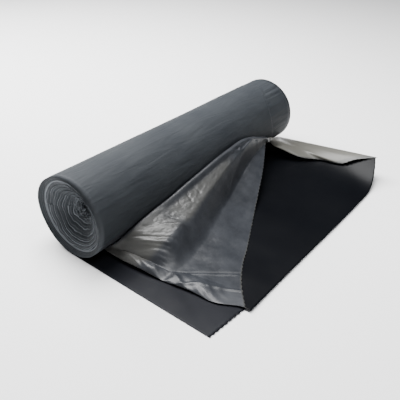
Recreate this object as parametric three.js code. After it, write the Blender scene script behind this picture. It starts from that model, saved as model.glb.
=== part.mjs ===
// A coreless roll of large refuse sacks with the first sack drawn off it and its mouth pulled open.
// Millimetres, +Z up. The roll lies along Y with its dished end at the low Y end,
// and the loose sack runs out to +X over the surface that the roll lies on.
// Shapes are worked out from the foot of the dished end; the group then puts the origin
// at the middle of the ground that the whole covers.
import * as THREE from "three";

// The roll.
const rollLength = 450;
const rollDiameter = 108.8;
const boreDiameter = 9;
const rimWidth = 7; // flush outer turns round the dished end
const dishDepth = 23; // how far the innermost turn has slipped in
const farDishDepth = 5;
const turnsShown = 9; // groups of turns that stand apart on an end
const riserShare = 0.2; // how much of a stair's width its riser takes
const turningSteps = 56; // flat facets round the roll

// The loose sack, of three films that lie on each other.
const filmThickness = 1;
const layerGap = 0.3;
const drawnLength = 222; // from under the roll to the lower film's torn edge
const innerFilmOverhang = 9;
const tailUnderRoll = 10;
const cornerWidth = 60; // stretch of the torn edge that leans back at a corner
const nearCornerLean = 6;
const farCornerLean = 19;
const nearFoldInset = 30; // from the dished end to the sack's side fold, at the roll
const nearFoldSkew = 29; // how much further in that fold is at the torn edge
const farLipWidth = 88; // strip along the far fold that curls up
const lipCurl = 2.2; // power that keeps the lip low until it is near the far fold
const cornerPullBack = 20; // how far the raised far corner is drawn back towards the roll

// The slope of the upper film, from its ridge on the roll to its torn rim.
const ridgeSpread = 5; // roundness of the top fold
const lowestContact = -76; // degrees round the roll, where the film first leans on it
const browShare = 0.12; // way down the slope to where the film starts to fall
const browDrop = 1.1;
const slopeShare = 0.5;
const slopeHeight = 0.3; // of the ridge's height over the rim, at the slope's middle
const lipSteepness = 0.7; // extra height that keeps the gap on the sloping lip

// Steps along and across each sheet.
const lowerFilmSteps = [12, 24];
const innerFilmSteps = [20, 44];
const upperFilmSteps = [26, 48];

const rollRadius = rollDiameter / 2;
const axisHeight = rollRadius + filmThickness + layerGap;
const innerFilmLevel = filmThickness + layerGap;
const upperFilmLevel = 2 * (filmThickness + layerGap);
const farFold = rollLength - filmThickness; // where the mouth's films fold at the far side

// A point given as shares of the drawn length, the roll's length and the roll's radius.
function place([along, across, high]) {
  return new THREE.Vector3(along * drawnLength, across * rollLength, high * rollRadius);
}

// A point at an angle round the roll, in degrees above the horizontal on the sack's side.
function besideRoll(angle, across, clearance) {
  const reach = rollRadius + clearance;
  const turn = THREE.MathUtils.degToRad(angle);
  return new THREE.Vector3(
    reach * Math.cos(turn),
    across * rollLength,
    axisHeight + reach * Math.sin(turn),
  );
}

// Where the gap under the roll has grown to the given height.
function nipAt(height) {
  const drop = axisHeight - height;
  return Math.sqrt(rollRadius ** 2 - Math.min(drop, rollRadius) ** 2);
}

// How high the inner film may lie under the roll's overhang, with the upper film above it.
function underRoll(x) {
  const overhang = x < rollRadius ? axisHeight - Math.sqrt(rollRadius ** 2 - x ** 2) : axisHeight;
  return overhang - 4 * layerGap - 3 * filmThickness;
}

// A sheet of even thickness on a surface(u, v) that gives the middle of the film.
function sheet(surface, [columns, rows]) {
  const geometry = new THREE.BoxGeometry(1, 1, 1, columns, rows, 1);
  const points = geometry.getAttribute("position");
  const step = 1e-3;
  for (let i = 0; i < points.count; i++) {
    const u = points.getX(i) + 0.5;
    const v = points.getY(i) + 0.5;
    const alongU = surface(Math.min(u + step, 1), v).sub(surface(Math.max(u - step, 0), v));
    const alongV = surface(u, Math.min(v + step, 1)).sub(surface(u, Math.max(v - step, 0)));
    const normal = alongU.cross(alongV).normalize();
    const point = surface(u, v).addScaledVector(normal, points.getZ(i) * filmThickness);
    points.setXYZ(i, point.x, point.y, point.z);
  }
  return geometry;
}

// Stairs of turns from the flush rim down to the bore, as [radius, depth] pairs.
function endStairs(depth, rim) {
  const stairs = [[rollRadius, 0]];
  const dishRadius = rollRadius - rim;
  const pitch = (dishRadius - boreDiameter / 2) / turnsShown;
  let level = 0;
  for (let turn = 0; turn < turnsShown; turn++) {
    const radius = dishRadius - turn * pitch;
    stairs.push([radius, level]);
    level = depth * ((turn + 1) / turnsShown);
    stairs.push([radius - pitch * riserShare, level]);
  }
  stairs.push([boreDiameter / 2, level]);
  return stairs;
}

// The roll is one turned solid: both ends show the turns, and the bore runs through it.
function woundRoll() {
  const near = endStairs(dishDepth, rimWidth);
  const far = endStairs(farDishDepth, rimWidth);
  const profile = [];
  for (const [radius, depth] of near) profile.push(new THREE.Vector2(radius, depth));
  for (const [radius, depth] of far.reverse())
    profile.push(new THREE.Vector2(radius, rollLength - depth));
  profile.push(profile[0].clone());
  profile.reverse();
  const geometry = new THREE.LatheGeometry(profile, turningSteps);
  geometry.translate(0, 0, axisHeight);
  return geometry;
}

// The two lower films lie flat, from a tail under the roll to the torn edge,
// which leans back at both of its corners.
function lowerFilm() {
  const level = filmThickness / 2;
  return sheet((u, v) => {
    const y = v * rollLength;
    const nearLean = nearCornerLean * Math.max(0, 1 - y / cornerWidth);
    const farLean = farCornerLean * Math.max(0, 1 - (rollLength - y) / cornerWidth);
    const x = THREE.MathUtils.lerp(-tailUnderRoll, drawnLength - nearLean - farLean, u);
    return new THREE.Vector3(x, y, level);
  }, lowerFilmSteps);
}

// The sack's side fold, at a share of the way from the roll to the torn edge.
function nearFoldAt(share) {
  return nearFoldInset + nearFoldSkew * share;
}

// The far fold stands up off the floor, more so towards the mouth's corner. In roll radii:
// its height at the roll, its even climb from there, and its sweep up to the corner.
const farFoldRise = { atRoll: 0.1, climb: 0.13, sweep: 0.33 };

function farFoldHeight(share) {
  const { atRoll, climb, sweep } = farFoldRise;
  return rollRadius * (atRoll + climb * share + sweep * share ** 2);
}

// Share of the way up the lip that the mouth's lower side curls into at its far fold.
function lipShare(y) {
  return Math.max(0, 1 - (farFold - y) / farLipWidth);
}

// The middle of the film on the mouth's lower side: flat, with its far side rising to a lip.
function trayHeight(x, y) {
  const level = innerFilmLevel + filmThickness / 2;
  const lip = (farFoldHeight(x / drawnLength) - level) * lipShare(y) ** lipCurl;
  return Math.min(level + lip, Math.max(level, underRoll(x)));
}

// The film on the mouth's lower side, from under the roll to its own torn edge.
function innerFilm() {
  const start = nipAt(innerFilmLevel + filmThickness + layerGap);
  return sheet((u, v) => {
    const y = THREE.MathUtils.lerp(nearFoldAt(u), farFold, v);
    const edge = drawnLength + innerFilmOverhang - cornerPullBack * lipShare(y) ** 2;
    const x = THREE.MathUtils.lerp(start, edge, u);
    return new THREE.Vector3(x, y, trayHeight(x, y));
  }, innerFilmSteps);
}

// The arched ridge of the upper film, which leans on the roll: [share of length, angle].
const ridgeArch = [
  [0.066, -62],
  [0.1, -26],
  [0.203, -12],
  [0.34, -2],
  [0.48, 7],
  [0.64, 12],
  [0.737, 2],
  [0.8, -8],
  [0.872, -22],
  [1, -52],
];

// The upper film's torn rim, from the near corner up to the peak and out to the far corner.
const tornRim = [
  [1.004, 0.129, 0],
  [0.892, 0.194, 0],
  [0.807, 0.264, 0],
  [0.704, 0.371, 0],
  [0.577, 0.504, 0.1],
  [0.467, 0.62, 0.4],
  [0.33, 0.75, 0.72],
  [0.29, 0.865, 0.55],
  [0.5, 0.905, 0.21],
  [0.953, 1, 0.58],
];

// One line of the upper film from under the roll, over the ridge, to the torn rim.
function flapLine(index) {
  const [across, angle] = ridgeArch[index];
  const clearance = filmThickness / 2 + layerGap;
  const level = upperFilmLevel + filmThickness / 2;
  const start = nipAt(upperFilmLevel + filmThickness + layerGap);
  const rim = place(tornRim[index]).setZ(level + tornRim[index][2] * rollRadius);
  const ridge = besideRoll(angle, across, clearance + ridgeSpread);
  const behind = besideRoll((angle + lowestContact) / 2, across, clearance);
  const foot = new THREE.Vector3(start, across * rollLength, level);
  const brow = ridge.clone().lerp(rim, browShare);
  brow.z = ridge.z - browDrop;
  const slope = ridge.clone().lerp(rim, slopeShare);
  slope.z = THREE.MathUtils.lerp(rim.z, ridge.z, slopeHeight);
  return [foot, behind, ridge, brow, slope, rim];
}

// The upper film: leans on the roll, folds over its ridge and comes down to the torn rim.
function upperFilm() {
  const lines = ridgeArch.map((_, index) => flapLine(index));
  const rails = lines[0].map(
    (_, knot) => new THREE.CatmullRomCurve3(lines.map((line) => line[knot]), false, "centripetal"),
  );
  const spacing = filmThickness + layerGap;
  const reach = rollRadius + filmThickness / 2 + layerGap;
  return sheet((u, v) => {
    const knots = rails.map((rail) => rail.getPoint(v));
    const point = new THREE.CatmullRomCurve3(knots, false, "centripetal").getPoint(u);
    point.y = Math.min(point.y, farFold);
    const over = spacing * (1 + lipSteepness * lipShare(point.y));
    point.z = Math.max(point.z, trayHeight(point.x, point.y) + over);
    const aside = Math.hypot(point.x, point.z - axisHeight);
    if (aside < reach) {
      point.x *= reach / aside;
      point.z = axisHeight + (point.z - axisHeight) * (reach / aside);
    }
    return point;
  }, upperFilmSteps);
}

function film(colour, roughness) {
  return new THREE.MeshStandardMaterial({ color: colour, roughness, metalness: 0 });
}

function piece(name, geometry, material) {
  const mesh = new THREE.Mesh(geometry, material);
  mesh.name = name;
  return mesh;
}

const group = new THREE.Group();
const reachOut = drawnLength + innerFilmOverhang;
group.position.set((rollRadius - reachOut) / 2, -rollLength / 2, 0);
group.add(
  piece("wound_roll", woundRoll(), film("#585c66", 0.5)),
  piece("lower_film", lowerFilm(), film("#3a3c45", 0.45)),
  piece("inner_film", innerFilm(), film("#22252e", 0.35)),
  piece("upper_film", upperFilm(), film("#6b6d75", 0.4)),
);

export default group;
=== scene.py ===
import bisect
import math

import bmesh
import bpy
from mathutils import Matrix, Vector, noise


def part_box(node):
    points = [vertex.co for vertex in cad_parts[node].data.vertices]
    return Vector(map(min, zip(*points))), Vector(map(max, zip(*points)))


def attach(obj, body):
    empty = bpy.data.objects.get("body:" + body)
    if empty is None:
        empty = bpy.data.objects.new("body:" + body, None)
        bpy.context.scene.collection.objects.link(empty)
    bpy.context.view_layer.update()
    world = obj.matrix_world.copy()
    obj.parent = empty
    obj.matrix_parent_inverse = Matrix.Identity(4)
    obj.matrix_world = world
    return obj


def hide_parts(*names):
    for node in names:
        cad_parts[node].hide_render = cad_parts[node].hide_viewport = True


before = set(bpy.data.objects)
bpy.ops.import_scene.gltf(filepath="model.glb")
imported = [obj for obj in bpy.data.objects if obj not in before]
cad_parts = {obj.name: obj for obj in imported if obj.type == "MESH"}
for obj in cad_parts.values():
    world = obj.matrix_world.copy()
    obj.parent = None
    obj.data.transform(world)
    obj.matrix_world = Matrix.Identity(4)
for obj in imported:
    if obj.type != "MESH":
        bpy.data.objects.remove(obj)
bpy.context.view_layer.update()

mm = 0.001
rollLow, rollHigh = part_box("wound_roll")
rollRadius = (rollHigh.x - rollLow.x) / 2
rollAxis = Vector(((rollHigh.x + rollLow.x) / 2, 0, (rollHigh.z + rollLow.z) / 2))
rollLength = rollHigh.y - rollLow.y
rollSpan = rollLength / rollRadius  # the roll's length in radii
rollFoot = Vector((rollAxis.x, rollLow.y, rollLow.z))  # under the middle of the dished end


def clamp(value, low=0.0, high=1.0):
    return max(low, min(high, value))


def mix(a, b, share):
    return a + (b - a) * share


def smooth(value, low=0.0, high=1.0):
    t = clamp((value - low) / (high - low))
    return t * t * (3 - 2 * t)


def bump(value, middle, width):
    return math.exp(-(((value - middle) / width) ** 2))


def fuzz(x, y, z=0.0, octaves=3):
    return noise.fractal(Vector((x, y, z)), 1.0, 2.0, octaves)


# Place on the loose bag, in roll radii from the foot of the dished end.
def onFloor(x, y, z):
    return rollFoot + Vector((x, y, z)) * rollRadius


# A smooth run through chosen points, by the share of its length.
def runThrough(points):
    spans = [0.0]
    for before, after in zip(points, points[1:]):
        spans.append(spans[-1] + (after - before).length)
    spans = [s / spans[-1] for s in spans]

    def at(share):
        share = clamp(share)
        i = min(bisect.bisect_right(spans, share) - 1, len(points) - 2)
        t = (share - spans[i]) / (spans[i + 1] - spans[i])
        before = points[max(i - 1, 0)]
        after = points[min(i + 2, len(points) - 1)]
        a, b = points[i], points[i + 1]
        return 0.5 * (
            2 * a + (b - before) * t
            + (2 * before - 5 * a + 4 * b - after) * t ** 2
            + (3 * a - before - 3 * b + after) * t ** 3
        )

    return at


# Looks

def linear(hexColour):
    parts = [int(hexColour[i:i + 2], 16) / 255 for i in (1, 3, 5)]
    return (*[c / 12.92 if c <= 0.04045 else ((c + 0.055) / 1.055) ** 2.4 for c in parts], 1)


# The scale of a noise whose patches are this many millimetres across.
def patches(size):
    return 1 / (size * mm)


def addNode(tree, kind, settings=None, links=None, **values):
    node = tree.nodes.new("ShaderNode" + kind)
    for name, value in (settings or {}).items():
        setattr(node, name, value)
    for name, value in values.items():
        node.inputs[name.replace("_", " ")].default_value = value
    for name, source in (links or {}).items():
        tree.links.new(source, node.inputs[name])
    return node


def startMaterial(name):
    material = bpy.data.materials.new(name)
    material.use_nodes = True
    tree = material.node_tree
    return material, tree, tree.nodes["Principled BSDF"]


def ramp(tree, source, stops):
    node = addNode(tree, "ValToRGB", links={"Fac": source})
    elements = node.color_ramp.elements
    while len(elements) < len(stops):
        elements.new(0.5)
    for element, (place, colour) in zip(elements, stops):
        element.position = place
        element.color = colour
    return node


# Joins a film's colour, roughness and relief to its shader.
def dressFilm(tree, shader, colour, dull, lift):
    tree.links.new(colour, shader.inputs["Base Color"])
    tree.links.new(dull, shader.inputs["Roughness"])
    tree.links.new(lift, shader.inputs["Normal"])
    shader.inputs["IOR"].default_value = 1.51  # low density polythene


# Mixes a colour with a paler one by a value marked on the piece's points.
def paleWhere(tree, mark, colour, paler):
    share = addNode(tree, "Attribute", {"attribute_name": mark}).outputs["Fac"]
    blend = addNode(tree, "Mix", {"data_type": "RGBA"}, {"Factor": share})
    tree.links.new(colour, blend.inputs["A"])
    blend.inputs["B"].default_value = linear(paler)
    return blend.outputs["Result"]


# LDPE blown film, wound tight: dark grey and matte, with a haze where turns have slipped, long
# fine wrinkles along the roll, and pale lines on the dished end: the edges of turns, with painted
# highlights and glints.
def woundFilmMaterial():
    material, tree, shader = startMaterial("woundLdpeFilm")
    spot = addNode(tree, "TexCoord").outputs["Object"]
    haze = addNode(tree, "TexNoise", links={"Vector": spot}, Scale=patches(71.4), Detail=4, Roughness=0.55)
    along = addNode(tree, "Mapping", links={"Vector": spot}, Scale=(1, 0.16, 1))
    streaks = addNode(
        tree, "TexNoise", links={"Vector": along.outputs[0]}, Scale=patches(9.09), Detail=4, Distortion=0.8)
    colours = ramp(tree, haze.outputs["Fac"], [(0.3, linear("#2a2d31")), (0.7, linear("#333639"))])
    # Painted highlight: turn edges on the dished end are made paler, most at the lower left, with painted
    # glints in the core and a painted bright ring, besides their own pale cut edges.
    colour = paleWhere(tree, "paleEdgeAndPaintedGlint", colours.outputs["Color"], "#8b9096")
    dull = addNode(tree, "MapRange", links={"Value": haze.outputs["Fac"]}, To_Min=0.55, To_Max=0.66)
    lift = addNode(
        tree, "Bump", links={"Height": streaks.outputs["Fac"]}, Strength=0.8, Distance=1.4 * mm)
    dressFilm(tree, shader, colour, dull.outputs[0], lift.outputs[0])
    shader.inputs["Specular IOR Level"].default_value = 0.1
    return material


# LDPE blown film, lying flat: nearly black, smooth, with a faint grain.
def flatFilmMaterial(name, dark, light, low, high):
    material, tree, shader = startMaterial(name)
    spot = addNode(tree, "TexCoord").outputs["Object"]
    haze = addNode(tree, "TexNoise", links={"Vector": spot}, Scale=patches(111), Detail=4, Roughness=0.5)
    grain = addNode(tree, "TexNoise", links={"Vector": spot}, Scale=patches(4.545), Detail=2)
    colours = ramp(tree, haze.outputs["Fac"], [(0.3, linear(dark)), (0.7, linear(light))])
    dull = addNode(tree, "MapRange", links={"Value": haze.outputs["Fac"]}, To_Min=low, To_Max=high)
    lift = addNode(
        tree, "Bump", links={"Height": grain.outputs["Fac"]}, Strength=0.12, Distance=0.4 * mm)
    dressFilm(tree, shader, colours.outputs["Color"], dull.outputs[0], lift.outputs[0])
    shader.inputs["Specular IOR Level"].default_value = 0.08
    return material


# LDPE blown film, one thin layer: grey, half gloss, milky in patches, with painted highlights on
# the strip over the far fold, the facet and the fan beside the ridge, a pale torn edge, and dull where it
# clings to the film below.
def raisedFilmMaterial():
    material, tree, shader = startMaterial("raisedLdpeFilm")
    spot = addNode(tree, "TexCoord").outputs["Object"]
    milk = addNode(tree, "TexNoise", links={"Vector": spot}, Scale=patches(29.4), Detail=5, Roughness=0.62)
    crinkle = addNode(
        tree, "TexNoise", links={"Vector": spot}, Scale=patches(8.33), Detail=3, Distortion=0.6)
    colours = ramp(tree, milk.outputs["Fac"], [(0.35, linear("#232529")), (0.68, linear("#303236"))])
    # Painted highlight: the raised film is made paler on the strip, the facet and the fan, and its torn
    # edge is pale.
    colour = paleWhere(tree, "paintedSheenAndTornEdge", colours.outputs["Color"], "#53524d")
    dull = addNode(tree, "MapRange", links={"Value": milk.outputs["Fac"]}, To_Min=0.3, To_Max=0.44)
    lift = addNode(
        tree, "Bump", links={"Height": crinkle.outputs["Fac"]}, Strength=0.3, Distance=0.5 * mm)
    dressFilm(tree, shader, colour, dull.outputs[0], lift.outputs[0])
    clinging = addNode(tree, "Attribute", {"attribute_name": "clinging"})
    sheen = addNode(tree, "MapRange", links={"Value": clinging.outputs["Fac"]}, To_Min=0.32, To_Max=0.1)
    tree.links.new(sheen.outputs[0], shader.inputs["Specular IOR Level"])
    return material


def finishPiece(mesh, name, material, nodes):
    data = bpy.data.meshes.new(name)
    mesh.to_mesh(data)
    mesh.free()
    data.shade_smooth()
    piece = bpy.data.objects.new(name, data)
    bpy.context.scene.collection.objects.link(piece)
    data.materials.append(material)
    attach(piece, "root")
    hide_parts(*nodes)
    return piece


# The wound roll

roll = {  # sizes in roll radii
    "around": 336,  # steps round the roll
    "rim": 0.128,  # width of the outer turns on the dished end
    "rimInset": 0.008,
    "rimTurns": 230,  # radians of ripple across a radius, one wave for each group of thin turns
    "rimSlope": 0.09,
    "dish": 0.45,  # depth of the innermost turn
    "core": 0.0325,  # of the small hollow in the middle
    "coreCrumple": 0.07,
    "pitch": 0.098,  # between the turns that stand out on the dished end
    "wallDrop": 0.05,  # how far the edge of such a turn stands out
    "wobble": 0.05,  # how far the turns stray from round
    "farDish": 0.08,
    "farRings": 0.008,
    "farTurns": 130,  # radians of ripple across a radius
    "filmEnd": 7.09,  # where the outermost film ends, from the dished end
    "filmEndTurn": 20,  # degrees over the level, where that edge is nearest
    "filmEndSweep": 0.46,  # how much further it lies at the ends of its sweep
    "filmEndReach": 57,  # degrees from its nearest point to there
    "filmEndStep": 0.014,
    "sag": 0.012,  # slow swells of the outermost turn
    "wrinkle": 0.006,
    "looseTurn": 0.06,  # how far the outermost turn hangs off the back at the dished end
    "looseSpread": 0.9,  # radians round the back that it does so
}


# How pale a place on the dished end is, from the pale edges of its turns and from painted highlights and
# glints, and how deep it lies.
def nearEnd(reach, turn):
    inner = 1 - roll["rim"]
    cos, sin = math.cos(turn), math.sin(turn)
    if reach > inner:
        share = (1 - reach) / roll["rim"]
        fine = 0.007 * math.sin(reach * roll["rimTurns"] + turn)
        fine += 0.008 * fuzz(turn * 1.2, reach * 16)
        # Painted highlights on the rim's rounded outer edge and on the ring at its inner edge, and pale
        # fine lines where thin turns end.
        pale = 0.3 * bump(reach, 0.992, 0.008) + 0.7 * bump(share, 1, 0.08) + 0.1 * (fine > 0.006)
        return pale, roll["rimInset"] + roll["rimSlope"] * share + fine
    wobble = roll["wobble"] * fuzz(cos * 0.9, sin * 0.9, reach * 2.2)
    wobble += 0.24 * roll["wobble"] * fuzz(cos * 3, sin * 3, reach * 5)
    phase = (inner - reach + wobble) / roll["pitch"] + turn / (2 * math.pi)  # a spiral of turns
    part = phase - math.floor(phase)  # how far across its turn the place lies
    wall = smooth(part, 0.0, 0.14) * (1 - part) ** 0.7
    patchy = clamp(0.6 + 0.8 * fuzz(cos * 1.6, sin * 1.6, math.floor(phase) * 3.1), 0.15, 1)
    inCore = bump(reach, 0.06, 0.17)
    slope = roll["rimSlope"] + roll["dish"] * smooth(inner - reach, -0.05, inner * 0.98)
    crumple = fuzz(cos * 2.4, sin * 2.4, reach * 15) + 0.6 * fuzz(cos * 6, sin * 6, reach * 40)
    # Painted light: the edges are made palest on the side away from the loose bag, low down, where light
    # falls on them.
    lowerLeft = 0.45 + 0.55 * smooth(-sin - 0.6 * cos, -0.6, 1.1)
    edges = patchy * (lowerLeft * bump(part, 0.15, 0.1) + 0.35 * bump(part, 0.55, 0.07))
    # Painted glints in the crumpled core, and a painted highlight on the ring at the rim's inner edge.
    pale = 0.03 + mix(0.75 * edges, clamp(crumple * 2.4), inCore) + 0.6 * bump(reach, inner, 0.01)
    depth = 0.03 + slope - roll["wallDrop"] * wall * patchy * (1 - inCore)
    return pale, depth + roll["coreCrumple"] * crumple * inCore


def farEnd(reach, turn):
    rings = roll["farRings"] * math.sin(reach * roll["farTurns"] + turn)
    return 0, roll["farDish"] * smooth(1 - reach, 0.1, 0.9) + rings + 0.01 * fuzz(turn, reach * 9)


# Where the outermost film ends, as a share of the roll's length.
def filmEndShare(turn):
    away = (math.degrees(turn) - roll["filmEndTurn"]) / roll["filmEndReach"]
    return (roll["filmEnd"] + roll["filmEndSweep"] * clamp(away ** 2)) / rollSpan


# How far the outermost turn hangs off at the back.
def looseAt(turn):
    return roll["looseTurn"] * bump(abs(turn), math.pi, roll["looseSpread"])


def skinLift(share, turn):
    along = share * rollSpan
    cos, sin = math.cos(turn), math.sin(turn)
    sag = roll["sag"] * fuzz(cos * 0.8, sin * 0.8, along * 0.35)
    wrinkle = roll["wrinkle"] * fuzz(cos * 5 + along * 0.9, sin * 5 - along * 0.5, along * 0.5)
    beyond = smooth(share, filmEndShare(turn), filmEndShare(turn) + 0.003)
    step = (0.016 * fuzz(cos * 8, sin * 8, along * 0.5) - roll["filmEndStep"]) * beyond
    return sag + wrinkle + step + looseAt(turn) * (1 - smooth(share, 0, 0.1))


# The roll's outline from the hollow of one end to that of the other, closest where it has detail.
def rollProfile():
    nearSteps, skinSteps, filmEndSteps, farSteps = 150, 46, 30, 26
    filmEndWidth = 0.08
    filmEndFrom = roll["filmEnd"] / rollSpan - 0.1 * filmEndWidth
    skin = [i / skinSteps for i in range(1, skinSteps)]
    skin += [filmEndFrom + filmEndWidth * i / filmEndSteps for i in range(filmEndSteps)]
    profile = [("near", mix(roll["core"], 1, i / nearSteps)) for i in range(nearSteps + 1)]
    profile += [("skin", share) for share in sorted(skin)]
    profile += [("far", mix(1, roll["core"], i / farSteps)) for i in range(farSteps + 1)]
    return profile


# On an end, value is the share of the radius. On the skin, it is the share of the length.
def placeOnRoll(zone, value, turn):
    pale, depth, lift = 0, 0, 0
    if zone == "near":
        pale, depth = nearEnd(value, turn)
        lift = looseAt(turn) * smooth(value, 0.8, 1)
    if zone == "far":
        pale, depth = farEnd(value, turn)
    if zone == "skin":
        reach, y = 1 + skinLift(value, turn), value * rollLength
    else:
        reach = value + lift - 0.01 * smooth(value, 0.98, 1) ** 2
        y = depth * rollRadius if zone == "near" else rollLength - depth * rollRadius
    out = Vector((math.cos(turn), 0, math.sin(turn)))
    return pale, rollAxis + Vector((0, rollFoot.y + y, 0)) + out * reach * rollRadius


# The roll's outline is spun round, and each point is then moved by what its turn of film does.
def buildWoundRoll(material):
    profile = rollProfile()
    mesh = bmesh.new()
    order = mesh.verts.layers.int.new("order")
    # This mark carries the pale turn edges and the painted highlights and glints of the dished end.
    paleEdgeAndPaintedGlint = mesh.verts.layers.float.new("paleEdgeAndPaintedGlint")
    verts = [mesh.verts.new((1 + i, i * 0.01, 0)) for i in range(len(profile))]
    edges = [mesh.edges.new(pair) for pair in zip(verts, verts[1:])]
    for i, vert in enumerate(verts):
        vert[order] = i
    bmesh.ops.spin(
        mesh, geom=verts + edges, cent=(0, 0, 0), axis=(0, 1, 0), dvec=(0, 0, 0),
        angle=2 * math.pi, steps=roll["around"], use_merge=True, use_duplicate=False,
    )
    for vert in mesh.verts:
        turn = math.atan2(vert.co.z, vert.co.x)
        vert[paleEdgeAndPaintedGlint], vert.co = placeOnRoll(*profile[vert[order]], turn)
    bmesh.ops.holes_fill(mesh, edges=[e for e in mesh.edges if e.is_boundary], sides=0)
    bmesh.ops.recalc_face_normals(mesh, faces=mesh.faces)
    return finishPiece(mesh, "woundFilmRoll", material, ["wound_roll"])


# Sheets of film

film = {
    "gauge": 0.25 * mm,  # drawn thicker than the real 0.05 mm, so that an edge shows
    "toothPitch": 7 * mm,
    "toothDepth": 1.3 * mm,
    "toothRaggedness": 0.35,
}


# A grid laid on surface(u, v), with the named values of marks on its points.
def laySheet(surface, columns, rows, marks=None):
    mesh = bmesh.new()
    bmesh.ops.create_grid(mesh, x_segments=columns, y_segments=rows, size=0.5, calc_uvs=False)
    layers = [(mesh.verts.layers.float.new(name), valueAt) for name, valueAt in (marks or {}).items()]
    for vert in mesh.verts:
        u, v = vert.co.x + 0.5, vert.co.y + 0.5
        for layer, valueAt in layers:
            vert[layer] = valueAt(u, v)
        vert.co = surface(clamp(u), clamp(v))
    bmesh.ops.recalc_face_normals(mesh, faces=mesh.faces)
    return mesh


def giveGauge(piece):
    thickness = piece.modifiers.new("gauge", "SOLIDIFY")
    thickness.thickness = film["gauge"]
    thickness.offset = 0


# How far a torn, perforated edge stands out at a distance along it.
def tooth(distance):
    part = (distance / film["toothPitch"]) % 1
    ragged = film["toothRaggedness"] * fuzz(distance * 300, 0)
    return film["toothDepth"] * (abs(part - 0.5) * 2 - 0.5 + ragged)


# A place beside the roll, at an angle in radians above the level.
def besideRoll(angle, y, clearance):
    reach = rollRadius + clearance
    return Vector((
        rollAxis.x + reach * math.cos(angle),
        rollFoot.y + y * rollRadius,
        rollAxis.z + reach * math.sin(angle),
    ))


lower = {  # sizes in roll radii, or in mm where it says so
    "level": 0.6 * mm,
    "tornEdge": 4.08,
    "nearLean": 0.11,  # how far the torn edge is drawn back at a corner
    "farLean": 0.35,
    "leanWidth": 1.1,
    "wrap": 60,  # degrees that the outer turn is still held against the roll
    "wrapShare": 0.16,  # of the sheet's length
    "wrapGap": 0.5 * mm,
    "ripple": 0.012,
}


def lowerSheetAt(u, v):
    y = v * rollSpan
    if u < lower["wrapShare"]:
        turn = math.radians(-90 - lower["wrap"] * (1 - u / lower["wrapShare"]))
        return besideRoll(turn, y, lower["wrapGap"])
    edge = lower["tornEdge"] - lower["nearLean"] * clamp(1 - y / lower["leanWidth"])
    edge -= lower["farLean"] * clamp(1 - (rollSpan - y) / lower["leanWidth"])
    along = (u - lower["wrapShare"]) / (1 - lower["wrapShare"])
    x = edge * along
    ripple = fuzz(x * 1.3, y * 0.5) + 0.67 * fuzz(x * 0.6 + y * 1.1, y * 0.3 + 5)
    ripple *= lower["ripple"] * smooth(along, 0.05, 0.3)
    point = onFloor(x, y, 0)
    point.z = lower["level"] + max(ripple + 0.008, 0) * rollRadius * 0.8
    point.x += tooth(y * rollRadius) * smooth(along, 0.985, 1)
    return point


under = {  # sizes in roll radii, or in mm where it says so
    "level": 2.0 * mm,
    "start": 0.25,
    "nearFold": (0.52, 0.56),  # inset of the side fold at the roll, and how much more at the edge
    "farInset": 0.03,
    "tornEdge": 4.22,
    "edgeDrift": 0.09,
    "lipWidth": 1.3,
    "lipCurl": 2.2,  # power that keeps the lip low until it is near the far fold
    "pullBack": 0.36,
    "ripple": 0.015,
    "farFold": (0.1, 0.13, 0.42),  # its height at the roll, its climb, and its sweep up to the corner
}


def foldHeight(x):
    share = x / lower["tornEdge"]
    atRoll, climb, sweep = under["farFold"]
    return atRoll + climb * share + sweep * share ** 2


def underFilmAt(u, v):
    nearInset, skew = under["nearFold"]
    farSide = rollSpan - under["farInset"]
    y = mix(nearInset + skew * u, farSide, v)
    rise = clamp(1 - (farSide - y) / under["lipWidth"])
    edge = under["tornEdge"] + under["edgeDrift"] * smooth(y, 1, 6.7) - under["pullBack"] * rise ** 2
    x = mix(under["start"], edge, u)
    lip = (foldHeight(x) - 0.05) * rise ** under["lipCurl"]
    if x < 1:
        lip = min(lip, max(0, 1 - math.sqrt(1 - x * x) - 0.08))
    ripple = (under["ripple"] * fuzz(x * 0.7 + 3, y * 0.6) + 0.012) * smooth(x, 0.4, 1.2)
    point = onFloor(x, y, 0)
    point.z = under["level"] + (lip + ripple) * rollRadius
    point.x += tooth(y * rollRadius) * 0.4 * smooth(u, 0.99, 1)
    return point


raised = {  # sizes in roll radii, or in mm where it says so
    "clearance": 1.0 * mm,  # from the roll
    "floorClearance": 2.9 * mm,
    "rimClearance": 3.4 * mm,
    "foldRadius": 2.2 * mm,
    "footAngle": -68,
    "backShare": 0.09,  # of the sheet's length, that lies against the roll
    "foldShare": 0.14,  # and that ends where its top fold does
    "peak": 0.62,  # share of the width where the torn rim is highest
    "peakOnRidge": 0.785,  # how far along the ridge that is
    "peakOnRim": 0.63,  # how far along the torn rim that is
    "rimLength": 560 * mm,
    "knee": 0.33,  # how far down the slope the film stays high
    "kneeDrift": 0.5,  # how fast that shrinks towards the peak
    "fallWidth": 0.22,  # share of the slope over which it falls
    "restHeight": 0.18,  # where it has fallen, as a share of its height
    "wrinkleStart": (0.45, 0.4),  # where the fine wrinkles fan out from
    "wrinkle": 0.02,
    "crumple": 0.018,
    "billow": 0.016,  # broad swells of the whole slope
    "puffWidths": (0.03, 0.05),  # shares of the width taken by the loose side fold's two puffs
    "puffSwell": 0.1,
    "foldBow": 0.17,  # how far the side fold bows out between its ends
    "rowCrowding": 1.25,  # power that crowds the rows of points towards the side fold
}

# The arched top fold, which leans on the roll: (how far along the roll in radii, degrees).
ridgeKnots = [
    (0.52, -64), (0.68, -42), (0.86, -27), (1.22, -18), (1.68, -12), (2.21, -8), (2.81, -2),
    (3.46, 3), (3.98, 7), (4.58, 10), (5.32, 12), (5.83, 7), (6.1, 2), (6.52, -6), (6.81, -13),
    (7.22, -22), (7.75, -38), (8.24, -52),
]
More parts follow.
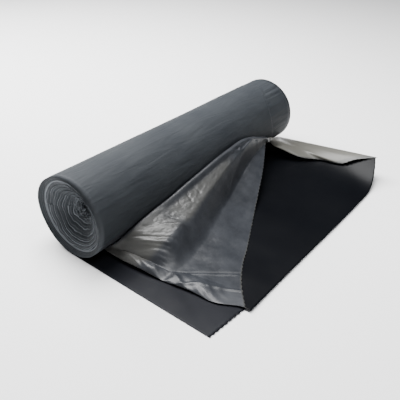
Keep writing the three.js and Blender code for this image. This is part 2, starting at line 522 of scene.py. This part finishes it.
# The torn rim, in radii: from the near corner up to the peak, then down and out to the far corner.
rimKnots = [
    (4.10, 1.07, 0.03), (3.64, 1.61, 0.03), (3.29, 2.19, 0.03), (3.06, 2.71, 0.03), (2.71, 3.43, 0.04),
    (2.35, 4.17, 0.11), (2.05, 4.82, 0.30), (1.75, 5.46, 0.54), (1.32, 6.24, 0.72), (1.12, 6.59, 0.78),
    (1.04, 6.88, 0.70), (1.06, 7.08, 0.60), (1.35, 7.21, 0.38), (1.93, 7.42, 0.22), (2.45, 7.74, 0.18),
    (3.11, 7.80, 0.26), (3.48, 8.02, 0.44), (4.02, 8.25, 0.60),
]
degreesPerRadius = 40  # degrees that count as much as a radius in the ridge's run
ridgeRun = runThrough([Vector((y, angle / degreesPerRadius, 0)) for y, angle in ridgeKnots])
rimRun = runThrough([Vector(point) for point in rimKnots])


# Maps the share of the width so that the peak of the rim and the ridge beside it agree.
def shareBeyond(share, peakAt):
    if share < raised["peak"]:
        return share / raised["peak"] * peakAt
    return mix(peakAt, 1, (share - raised["peak"]) / (1 - raised["peak"]))


# From a grid's own shares to those of the slope, from its top fold down, and of the width.
def slopeShares(u, row):
    s = (u - raised["foldShare"]) / (1 - raised["foldShare"])
    return s, row ** raised["rowCrowding"]


# How far down the slope the film stays high before it falls, by the share of the width.
def kneeAt(v):
    return raised["knee"] - raised["kneeDrift"] * clamp(v - 0.2, 0, 0.34)


# How the film comes down from its ridge: gently to the knee, steeply, then gently to the rim.
def dropAt(s, v):
    knee = kneeAt(v)
    foot = knee + raised["fallWidth"]
    gentle = 1 - 0.7 * s - 0.05 * smooth(s, 0.01, 0.08)
    shallow = raised["restHeight"] * smooth(v, 0.02, 0.3) * (1 - s) / (1 - foot)
    return mix(gentle, shallow, smooth(s, knee - 0.03, foot))


# Creases in the raised film, in radii, seen from above: from, to, half width, height.
creases = [
    ((1.04, 5.15), (1.24, 5.00), 0.06, 0.035),
    ((1.24, 5.00), (1.10, 4.55), 0.06, 0.03),
    ((1.12, 5.90), (1.33, 4.85), 0.06, 0.05),
    ((1.33, 4.85), (1.56, 4.10), 0.06, 0.03),
    ((1.20, 5.95), (1.42, 4.90), 0.07, -0.03),
    ((2.25, 0.93), (3.42, 1.84), 0.045, 0.022),
    ((2.30, 0.99), (3.46, 1.92), 0.06, -0.016),
    ((2.45, 0.80), (3.78, 1.45), 0.045, 0.02),
    ((1.30, 1.45), (1.75, 1.95), 0.06, 0.02),
    ((1.26, 1.80), (1.55, 1.95), 0.05, -0.018),
    ((1.22, 2.70), (1.45, 2.62), 0.05, -0.02),
    ((1.24, 3.00), (1.42, 2.98), 0.04, -0.016),
]


def creaseLift(x, y):
    total = 0.0
    for (ax, ay), (bx, by), width, height in creases:
        dx, dy = bx - ax, by - ay
        along = ((x - ax) * dx + (y - ay) * dy) / (dx * dx + dy * dy)
        near = clamp(along)
        gap = math.hypot(x - ax - near * dx, y - ay - near * dy)
        if gap < width:
            fade = smooth(along, -0.12, 0.12) * (1 - smooth(along, 0.88, 1.12))
            total += height * fade * (1 - gap / width) ** 1.3
    return total


# Fine wrinkles that fan out from the near end of the ridge, and sharp crumples beside it.
def wrinkleLift(s, v, x, y):
    across, along = x - raised["wrinkleStart"][0], y - raised["wrinkleStart"][1]
    fanAngle, reach = math.atan2(along, across), math.hypot(along, across)
    high = smooth(s, 0, 0.05) * (1 - smooth(s, kneeAt(v), kneeAt(v) + 0.1))
    fan = raised["wrinkle"] * fuzz(fanAngle * 11, reach * 0.9, 2, 2)
    fan *= clamp(reach, 0, 1.4) * (1 - smooth(v, 0.15, 0.3))
    crumple = -raised["crumple"] * abs(fuzz(x * 7, y * 3.6, 11, 3)) * smooth(v, 0.06, 0.14)
    broad = raised["billow"] * (fuzz(x * 1.6, y * 1.1, 2) + 0.31 * fuzz(x * 5, y * 4, 7))
    return (fan + crumple) * high + broad * smooth(s, 0.1, 0.4)


# The loose side fold along the near edge: it swells out in two puffs with a pinch between them.
def sideFold(s, v):
    part = v / mix(*raised["puffWidths"], smooth(s, 0.44, 0.56))
    if part > 1:
        return Vector((0, 0, 0))
    first = smooth(s, 0.02, 0.2) * (1 - smooth(s, 0.36, 0.5))
    second = 0.9 * smooth(s, 0.475, 0.53) * (1 - smooth(s, 0.7, 0.92))
    bow = raised["foldBow"] * math.sin(math.pi * clamp(s * 1.05)) ** 0.8 + 0.1 * bump(s, 0.83, 0.1)
    crumple = 1 - 0.6 * abs(fuzz(s * 8 + part * 1.5, part * 0.7, 4, 2))
    swell = raised["puffSwell"] * (first + second) * math.sin(math.pi * part) ** 0.8 * crumple
    return Vector((0, -bow * (1 - smooth(part)), swell)) * rollRadius


# The top fold's round back, and past it the slope's first point. Past is how far down the
# slope a point lies, and is below 0 on the fold itself.
def topFoldAt(past, y, angle, radius, rimPoint, strip):
    centre = besideRoll(angle, y, raised["clearance"] + radius)
    out = Vector((math.cos(angle), 0, math.sin(angle)))
    upward = Vector((-math.sin(angle), 0, math.cos(angle)))
    away = rimPoint - centre
    away.z *= mix(0.7, 1, strip)
    bend = math.atan2(away.dot(out), away.dot(upward))
    foldWidth = (raised["foldShare"] - raised["backShare"]) / (1 - raised["foldShare"])
    turn = clamp(1 + past / foldWidth) * bend
    return centre + (upward * math.sin(turn) - out * math.cos(turn)) * radius


def raisedFilmAt(u, row):
    s, v = slopeShares(u, row)
    ridge = ridgeRun(shareBeyond(v, raised["peakOnRidge"]))
    y, angle = ridge.x, math.radians(ridge.y * degreesPerRadius)
    if u < raised["backShare"]:
        foot = min(math.radians(raised["footAngle"]), angle)
        return besideRoll(mix(foot, angle, u / raised["backShare"]), y, raised["clearance"])
    rimShare = shareBeyond(v, raised["peakOnRim"])
    rim = rimRun(rimShare)
    rimPoint = onFloor(*rim)
    rimPoint.z = max(rimPoint.z, raised["rimClearance"])
    strip = smooth(v, raised["peak"] + 0.04, 0.8)  # 1 on the strip that lies over the far fold
    radius = raised["foldRadius"] * (1 + smooth(v, 0.1, 0.5))
    top = topFoldAt(s, y, angle, radius, rimPoint, strip)
    if s < 0:
        return top
    point = top.lerp(rimPoint, s)
    point.z = mix(rimPoint.z, top.z, mix(dropAt(s, v), 1 - s, strip))
    x, y = ((point - rollFoot) / rollRadius).xy
    calm = smooth(s, 0.0, 0.06) * (1 - 0.95 * strip)
    point.z += (creaseLift(x, y) + wrinkleLift(s, v, x, y)) * calm * rollRadius
    point += sideFold(s, v)
    point.z = max(point.z, raised["floorClearance"])
    if s > 0.97:
        rimAhead = rimRun(shareBeyond(min(v + 0.004, 1), raised["peakOnRim"]))
        along = (rimAhead - rim).normalized()
        outward = Vector((along.y, -along.x, 0))
        point += outward * tooth(rimShare * raised["rimLength"]) * smooth(s, 0.985, 1)
    return point


# Painted highlights on one layer of film: the strip over the far fold, the facet and the fan of
# wrinkles beside the ridge; and the pale torn edge.
def raisedFilmPaintedSheenAndTornEdge(u, row):
    s, v = slopeShares(u, row)
    knee = kneeAt(v)
    strip = smooth(v, raised["peak"] + 0.01, raised["peak"] + 0.08) * (1 - 0.6 * smooth(s, 0.9, 0.95))
    facet = smooth(v, 0.15, 0.2) * (1 - smooth(v, 0.38, 0.44))
    facet *= smooth(s, 0.04, 0.12) * (1 - smooth(s, knee - 0.03, knee + 0.03))
    fan = smooth(s, 0, 0.03) * (1 - smooth(s, 0.8 * knee, knee)) * (1 - smooth(v, 0.1, 0.24))
    torn = smooth(s, 0.985, 1) * (0.5 + fuzz(v * 900, 0, 5, 1))
    return clamp(max(strip, 0.4 * facet, 0.5 * fan, torn))


# Where the film lies down and clings to the one under it, which dulls it.
def raisedFilmCling(u, row):
    s, v = slopeShares(u, row)
    knee = kneeAt(v)
    flatPart = smooth(s, knee + 0.08, knee + 0.24) * smooth(v, 0.02, 0.06)
    return flatPart * (1 - smooth(v, raised["peak"] - 0.1, raised["peak"]))


def buildFilms():
    flat = flatFilmMaterial("flatLdpeFilm", "#16171b", "#1c1d21", 0.26, 0.36)
    inside = flatFilmMaterial("insideLdpeFilm", "#050609", "#090a0d", 0.28, 0.36)

    mesh = laySheet(lowerSheetAt, 70, 330)
    lowerSheet = finishPiece(mesh, "lowerFilmSheet", flat, ["lower_film"])
    giveGauge(lowerSheet)

    mesh = laySheet(underFilmAt, 90, 300)
    underFilm = finishPiece(mesh, "mouthUnderFilm", inside, ["inner_film"])
    giveGauge(underFilm)

    # The first mark carries the painted highlights and the pale torn edge of the raised film.
    marks = {"paintedSheenAndTornEdge": raisedFilmPaintedSheenAndTornEdge, "clinging": raisedFilmCling}
    mesh = laySheet(raisedFilmAt, 110, 400, marks)
    raisedFilm = finishPiece(mesh, "raisedMouthFilm", raisedFilmMaterial(), ["upper_film"])
    giveGauge(raisedFilm)


# Camera, floor and light

view = {
    "azimuth": 36.39,  # degrees round from straight along the roll, towards the loose bag
    "height": 33.05,  # degrees over the level
    "tilt": 2.19,
    "distance": 13.956,  # in roll radii
    "target": (0.852, 3.747, 0),  # in roll radii from the foot of the dished end
    "lens": 45.88,  # in millimetres, as is the sensor's width
    "sensor": 36,
}


def setCamera():
    around, above, tilt = (math.radians(view[k]) for k in ("azimuth", "height", "tilt"))
    level = Vector((math.cos(around), math.sin(around), 0))
    back = Vector((math.sin(around), -math.cos(around), 0)) * math.cos(above)
    back.z = math.sin(above)
    upright = back.cross(level)
    right = level * math.cos(tilt) + upright * math.sin(tilt)
    upward = upright * math.cos(tilt) - level * math.sin(tilt)
    spot = onFloor(*view["target"]) + back * view["distance"] * rollRadius
    data = bpy.data.cameras.new("photoView")
    data.lens = view["lens"]
    data.sensor_width = view["sensor"]
    camera = bpy.data.objects.new("photoView", data)
    bpy.context.scene.collection.objects.link(camera)
    camera.matrix_world = Matrix.Translation(spot) @ Matrix((right, upward, back)).transposed().to_4x4()
    bpy.context.scene.camera = camera


stage = {
    "floorHalf": 4,
    "floor": "#f4f4f4",
    "sky": [(0.3, "#0c0d0f"), (0.95, "#f2f5fa")],  # dark low down, so that flat film stays dark
    "skyStrength": 0.4,
    "softboxes": {  # name: place, what it is aimed at, watts, width and height in metres
        "overheadSoftbox": ((-0.42, 0.12, 1.42), (0, 0.05, 0), 58, (0.9, 0.9)),
        "leftSoftbox": ((-1.15, -0.05, 0.95), (0, 0.05, 0), 42, (0.8, 0.8)),
        "rightSoftbox": ((0.55, 0.0, 1.2), (0.02, -0.05, 0), 6, (0.32, 0.32)),
        "frontFill": ((-0.5, -1.4, 0.55), (0, -0.1, 0.05), 2, (0.9, 0.6)),
    },
}


def addSoftbox(name, place, aim, power, size):
    data = bpy.data.lights.new(name, "AREA")
    data.energy = power
    data.shape = "RECTANGLE"
    data.size, data.size_y = size
    light = bpy.data.objects.new(name, data)
    light.location = place
    light.rotation_euler = (Vector(aim) - Vector(place)).to_track_quat("-Z", "Y").to_euler()
    bpy.context.scene.collection.objects.link(light)


def layFloor():
    mesh = bmesh.new()
    bmesh.ops.create_grid(mesh, x_segments=1, y_segments=1, size=stage["floorHalf"])
    data = bpy.data.meshes.new("paleFloor")
    mesh.to_mesh(data)
    mesh.free()
    floor = bpy.data.objects.new("paleFloor", data)
    bpy.context.scene.collection.objects.link(floor)
    material, tree, shader = startMaterial("paleFloor")
    shader.inputs["Base Color"].default_value = linear(stage["floor"])
    shader.inputs["Roughness"].default_value = 0.9
    data.materials.append(material)


def setSky():
    world = bpy.data.worlds.new("softStudio")
    world.use_nodes = True
    tree = world.node_tree
    spot = addNode(tree, "TexCoord").outputs["Generated"]
    height = addNode(tree, "SeparateXYZ", links={"Vector": spot}).outputs["Z"]
    glow = ramp(tree, height, [(place, linear(colour)) for place, colour in stage["sky"]])
    background = tree.nodes["Background"]
    tree.links.new(glow.outputs["Color"], background.inputs["Color"])
    background.inputs["Strength"].default_value = stage["skyStrength"]
    bpy.context.scene.world = world


setCamera()
print("camera set")
buildWoundRoll(woundFilmMaterial())
print("roll wound")
buildFilms()
print("films laid")
layFloor()
setSky()
for name, softbox in stage["softboxes"].items():
    addSoftbox(name, *softbox)
print("stage set")
